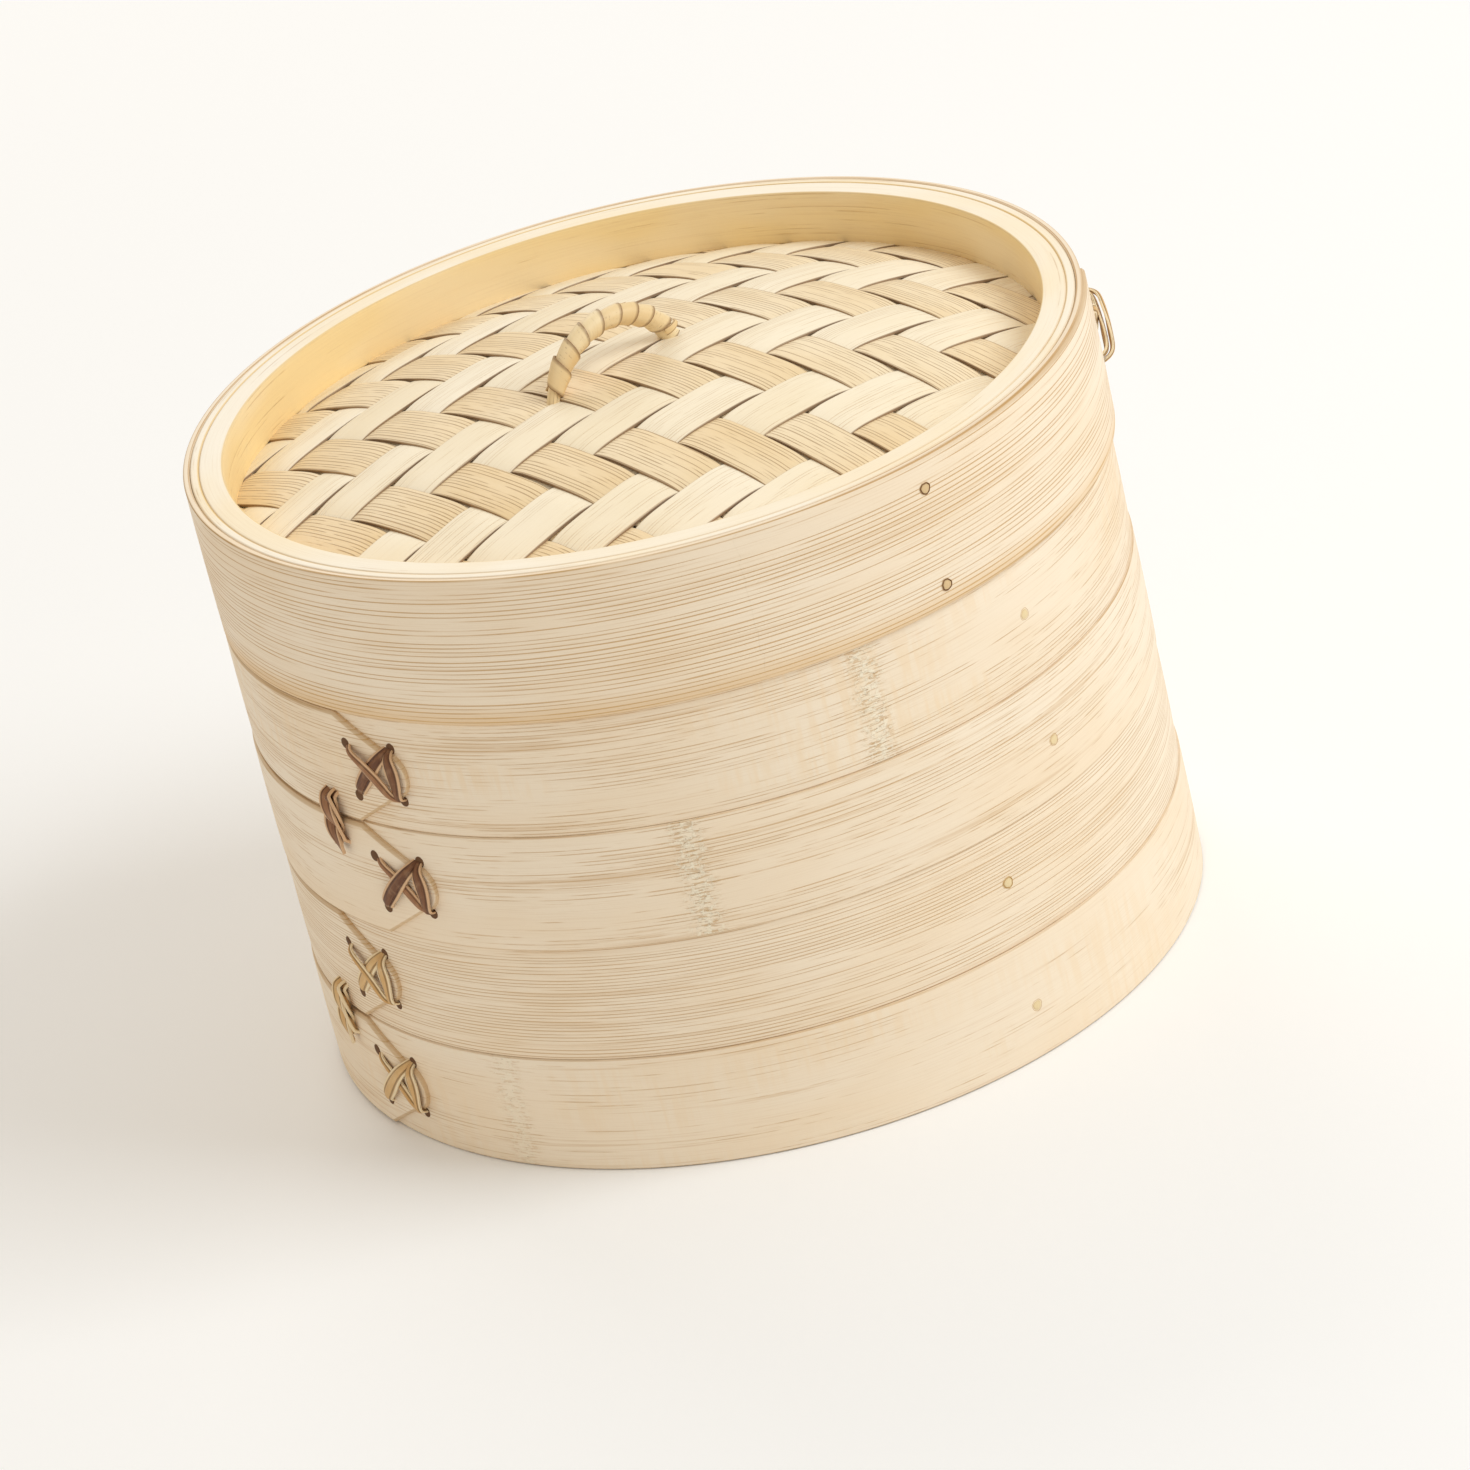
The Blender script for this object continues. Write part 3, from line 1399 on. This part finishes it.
@dataclass
class Handle:
    """The bent handle: a core, a flat strip wound round it, and the keeper bar under the mat."""

    mat_sphere: float
    centre: float
    turn: float = math.radians(35)
    u: float = -3.0
    v: float = 2.0
    arch: float = 19.0
    rise: float = 10.5
    core: float = 1.5
    pitch: float = 4.7
    strip: float = 5.8
    thickness: float = 0.5
    keeper_width: float = 8.0
    keeper_length: float = 48.0

    def on_arch(self, angle: Array, radius: Array, around_core: Array) -> Array:
        """Points about the arch's middle line, which is part of a circle in the u direction.

        Args:
            angle: angle along the arch from its crown, positive to the right.
            radius: distance from the middle line.
            around_core: angle about the middle line, 0 outwards.

        Returns:
            The points.
        """
        out = self.arch + radius * np.cos(around_core)
        u = self.u + out * np.sin(angle)
        z = self.arch_height() + out * np.cos(angle)
        v = self.v + radius * np.sin(around_core)
        return turned_flat(u, v, z, self.turn)

    def arch_height(self) -> float:
        """Height of the arch's centre: its crown stands the rise above the mat."""
        return self.centre + self.mat_sphere - (self.arch - self.rise)

    def rod(self, half: float, radius: float) -> Patch:
        """A round rod along the arch.

        Args:
            half: angle from the crown to each end.
            radius: its radius.

        Returns:
            The patch.
        """
        angle = np.linspace(-half, half, 60)[:, None]
        turn = np.linspace(0, 2 * np.pi, 20, endpoint=False)[None]
        ripple = radius * (1 + 0.03 * np.sin(5 * turn))
        points = self.on_arch(angle, ripple, turn)
        uv = plain_uv(angle[:, 0] * self.arch, np.linspace(0, 2 * np.pi * radius, 21))
        return Patch(points, uv, False, marked(points.shape[:2], tone=0.4))

    def wrap(self, half: float) -> Patch:
        """The flat strip wound round the core.

        It goes round as it goes along, one pitch for each turn. It is a little wider than its
        pitch, and leans so that each turn's far edge lies on the turn before.

        Args:
            half: angle from the crown to each end of the winding.

        Returns:
            The patch.
        """
        length = 2 * half * self.arch - self.strip
        turns = length / self.pitch
        t = np.linspace(0, turns, int(turns * 30))[:, None]
        section, near = rounded(UNIT_STRIP, 0.16, 3, 3)
        q, d = section[None, :, 0], section[None, :, 1]
        ends = np.minimum(1, np.minimum(t, turns - t) * 2 + 0.35)
        loose = 0.12 * np.sin(2.3 * t) + 0.08 * np.sin(5.1 * t + 1)
        along = self.pitch * t + self.strip * (0.5 + q * ends) + 0.35 * np.sin(1.7 * t)
        angle = along / self.arch - half
        radius = self.core + 0.25 + 0.75 * (q + 0.5) + self.thickness * d + 0.6 * loose
        turn = 2 * np.pi * t + 2.2
        points = self.on_arch(angle, radius, np.broadcast_to(turn, angle.shape))
        edge = np.maximum(near, np.clip((np.abs(section[:, 0]) - 0.4) / 0.08, 0, 1))
        tone = 0.35 + 0.3 * np.sin(1.3 * t + 0.5)
        uv = plain_uv(t[:, 0] * 2 * np.pi * (self.core + 0.6), lengths(section * [self.strip, 1]))
        return Patch(points, uv, False, marked(angle.shape, edge, tone))

    def tail(self, angle: float, start: float, length: float, lean: float) -> Patch:
        """A loose end of the winding: a narrow strip that leaves the core and curls away.

        Args:
            angle: angle along the arch where it leaves.
            start: angle about the core where it leaves.
            length: its length.
            lean: how far it goes along the arch as it curls.

        Returns:
            The patch.
        """
        t = np.linspace(0, 1, 24)
        turn = start + t * length / (self.core + 1.2)
        radius = self.core + 0.75 + 0.9 * t**2
        path = self.on_arch(angle + lean * t / self.arch, radius, turn)
        hub = self.on_arch(angle + lean * t / self.arch, np.zeros_like(t), turn)
        section, near = rounded(UNIT_STRIP, 0.2, 2, 1)
        section = section * [2.2, 0.45]
        return swept(path, unit(path - hub), section, 1 - 0.65 * t, near, 0.7)

    def keeper(self) -> Patch:
        """The bar under the mat, with softened edges.

        Returns:
            The patch.
        """
        half = self.keeper_width / 2
        section, near = rounded(rectangle((-half, half), span("handle_keeper")), 0.6, 3, 2)
        run = np.linspace(-self.keeper_length / 2, self.keeper_length / 2, 30)[:, None]
        u = self.u + np.broadcast_to(run, (30, len(section)))
        v = self.v + np.broadcast_to(section[None, :, 0], u.shape)
        z = np.broadcast_to(section[None, :, 1], u.shape)
        points = turned_flat(u, v, z, self.turn)
        uv = plain_uv(run[:, 0], lengths(section))
        return Patch(points, uv, False, marked(u.shape, near * 0.5, 0.5))

    def build(self) -> None:
        """Makes the core, the winding with its loose ends, and the keeper bar."""
        mat = (self.mat_sphere - 2.0 - (self.mat_sphere - (self.arch - self.rise))) / self.arch
        foot = math.acos(mat)
        low, _ = span("handle_core")
        deep = math.acos(max(-0.9, (low - self.arch_height()) / self.arch))
        core = Piece("handle_core_bent")
        core.add(self.rod(deep - 0.04, self.core))
        core.build(Body.LID, [HANDLE], ["handle_core"])
        wrap = Piece("handle_wrap_wound")
        wrap.add(self.wrap(foot - 0.02))
        wrap.add(self.tail(-foot + 0.2, 1.4, 7.0, -2.4))
        wrap.add(self.tail(0.34, 0.5, 6.0, 3.2))
        wrap.add(self.tail(foot - 0.25, 4.2, 6.0, 2.0))
        wrap.build(Body.LID, [HANDLE], ["handle_wrap"])
        keeper = Piece("handle_keeper_split")
        keeper.add(self.keeper())
        keeper.build(Body.LID, [SLAT], ["handle_keeper"])


@dataclass
class Lid:
    """The lid: an outer band over three hoops that clamp the woven mat, and its handle."""

    hoop: float = 98.0
    middle: float = 100.0
    outer: float = 101.5
    clamp: float = 92.6
    lap: float = 0.9
    tip: float = math.radians(97)
    lace_back: float = 9.5
    peg_at: float = 32.0
    low_peg_up: float = 4.9
    high_peg_down: float = 6.9
    edge: float = 0.45

    def build_band(self) -> None:
        """Makes the outer band with its overlapping end, and the lacing through it."""
        low, high = span("lid_outer_band")
        band = Band(
            self.middle, self.outer, low, high, self.tip, self.lap, 17.0, corner=self.edge,
        )
        piece = Piece("lid_outer_band_bent")
        piece.add(band.ring())
        piece.add(band.lap())
        piece.build(Body.LID, [LID_BAND], ["lid_outer_band"])
        lacing = Lacing(
            self.tip - self.lace_back / self.outer, (low + high) / 2, self.outer + 0.1,
            self.lap, LIGHT_TIE, (0.3, 0.7, 0.5), loop=2.6,
        )
        piece = Piece("lid_lacing_strips")
        for patch, finish in lacing.patches():
            piece.add(patch, finish)
        piece.build(Body.LID, [LIGHT_TIE, HOLE], ["lid_lacing"])

    def build_hoops(self) -> None:
        """Makes the middle hoop and the two that clamp the mat, whose inner faces bow a little."""
        shapes = {
            "lid_middle_hoop": (self.middle, self.hoop, RIM),
            "lid_top_hoop": (self.hoop, self.clamp, RIM),
            "lid_bottom_hoop": (self.hoop, self.clamp, LINING),
        }
        for number, (node, (outer, inner, finish)) in enumerate(shapes.items()):
            low, high = span(node)
            corners = hoop_corners(inner, outer, low, high)
            if node == "lid_top_hoop":
                corners[3] = (inner, low + 1.3)
            outline, near = rounded(corners, self.edge, 3, 4)
            piece = Piece(f"{node}_bent")
            piece.add(revolved(outline, near * 0.6, 31.0 * number, inside=1.0))
            piece.build(Body.LID, [finish], [node])

    def build_mat(self) -> Weave:
        """Makes the woven mat.

        Returns:
            The weave, whose sphere the handle stands on.
        """
        _, crown = span("lid_weft_strips")
        weave = Weave(crown, clamp=self.clamp)
        for weft, node, finish in (
            (True, "lid_weft_strips", WEFT), (False, "lid_warp_strips", WARP)
        ):
            piece = Piece(f"{node}_split")
            for patch in weave.strips(weft):
                piece.add(patch)
            piece.build(Body.LID, [finish], [node])
        return weave

    def build_pegs(self) -> None:
        """Makes the four peg ends; the lap's face is under the front pair."""
        low, high = span("lid_outer_band")
        piece = Piece("lid_pegs_ends")
        for degrees in (self.peg_at, self.peg_at + 180):
            angle = math.radians(degrees)
            lap = self.lap * math.cos(self.tip - angle) if degrees < 180 else 0.0
            for up in (self.low_peg_up, high - low - self.high_peg_down):
                piece.add(Peg(angle, low + up, self.outer + lap + 0.1).patch())
        piece.build(Body.LID, [PEG], ["lid_pegs"])

    def build(self) -> None:
        """Makes the whole lid."""
        self.build_band()
        self.build_hoops()
        weave = self.build_mat()
        self.build_pegs()
        Handle(weave.sphere + 1.0, weave.centre).build()


# ---------------------------------------------------------------- studio


@dataclass
class Studio:
    """A pale floor, soft lights and the camera."""

    distance: float = 1.3952
    height: float = 0.7174
    pitch: float = -25.5067
    roll: float = -13.8
    yaw: float = -0.1325
    lens: float = 167.08
    aim: float = 0.07
    floor_radius: float = 6.0
    floor_sides: int = 96

    def floor(self) -> None:
        """A large flat disc at the object's foot."""
        angle = np.linspace(0, 2 * np.pi, self.floor_sides, endpoint=False)
        points = around(self.floor_radius, angle, -0.0002)
        mesh = bpy.data.meshes.new("studio_floor")
        mesh.from_pydata(points.tolist(), [], [list(range(self.floor_sides))])
        mesh.materials.append(Plain("studio_paper", (0.97, 0.985, 1.0), 0.9).make())
        made = bpy.data.objects.new("studio_floor", mesh)
        bpy.context.scene.collection.objects.link(made)

    def light(self, name: str, place: tuple, size: float, power: float, colour: Rgb) -> None:
        """An area light that points at the object.

        Args:
            name: its name.
            place: where it is, in metres.
            size: length of its side.
            power: its power in watts.
            colour: its colour.
        """
        data = bpy.data.lights.new(name, "AREA")
        data.size, data.energy, data.color = size, power, colour
        made = bpy.data.objects.new(name, data)
        x, y, z = place
        turn = math.atan2(x, -y)
        lean = math.atan2(math.hypot(x, y), z - self.aim)
        made.matrix_world = (
            Matrix.Translation(place)
            @ Matrix.Rotation(turn, 4, "Z")
            @ Matrix.Rotation(lean, 4, "X")
        )
        bpy.context.scene.collection.objects.link(made)

    def world(self, strength: float) -> None:
        """An even, slightly warm surround."""
        world = bpy.data.worlds.new("studio_world")
        world.use_nodes = True
        background = world.node_tree.nodes["Background"]
        background.inputs["Color"].default_value = (1.0, 0.925, 0.82, 1.0)
        background.inputs["Strength"].default_value = strength
        bpy.context.scene.world = world

    def camera(self) -> None:
        """A long lens, in front of the object and above it, rolled to the left."""
        data = bpy.data.cameras.new("camera")
        data.lens, data.sensor_width = self.lens, 36.0
        data.clip_end = 30.0
        made = bpy.data.objects.new("camera", data)
        made.matrix_world = (
            Matrix.Translation((0.0, -self.distance, self.height))
            @ Matrix.Rotation(math.radians(self.yaw), 4, "Z")
            @ Matrix.Rotation(math.radians(90 + self.pitch), 4, "X")
            @ Matrix.Rotation(math.radians(self.roll), 4, "Z")
        )
        bpy.context.scene.collection.objects.link(made)
        bpy.context.scene.camera = made

    def build(self) -> None:
        """Makes the studio."""
        self.camera()
        self.floor()
        self.world(0.65)
        self.light("key", (1.45, -0.5, 1.5), 1.1, 21.0, (0.91, 0.96, 1.0))
        self.light("back", (-0.3, 1.5, 1.2), 1.0, 6.0, (1.0, 0.98, 0.96))
        bpy.context.scene.view_settings.view_transform = "Standard"


def main() -> None:
    """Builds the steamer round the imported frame, and notes both boxes."""
    logging.basicConfig(level=logging.INFO, format="%(name)s: %(message)s")
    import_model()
    Studio().build()
    Tier(Body.LOWER, -12.0, LOWER_TOP, LOWER_BASE, LIGHT_TIE, (0.2, 0.6, 0.35)).build()
    Tier(Body.UPPER, 0.0, UPPER_TOP, UPPER_BASE, DARK_TIE, (0.75, 0.1, 0.2)).build()
    Lid().build()


if __name__ == "__main__":
    main()
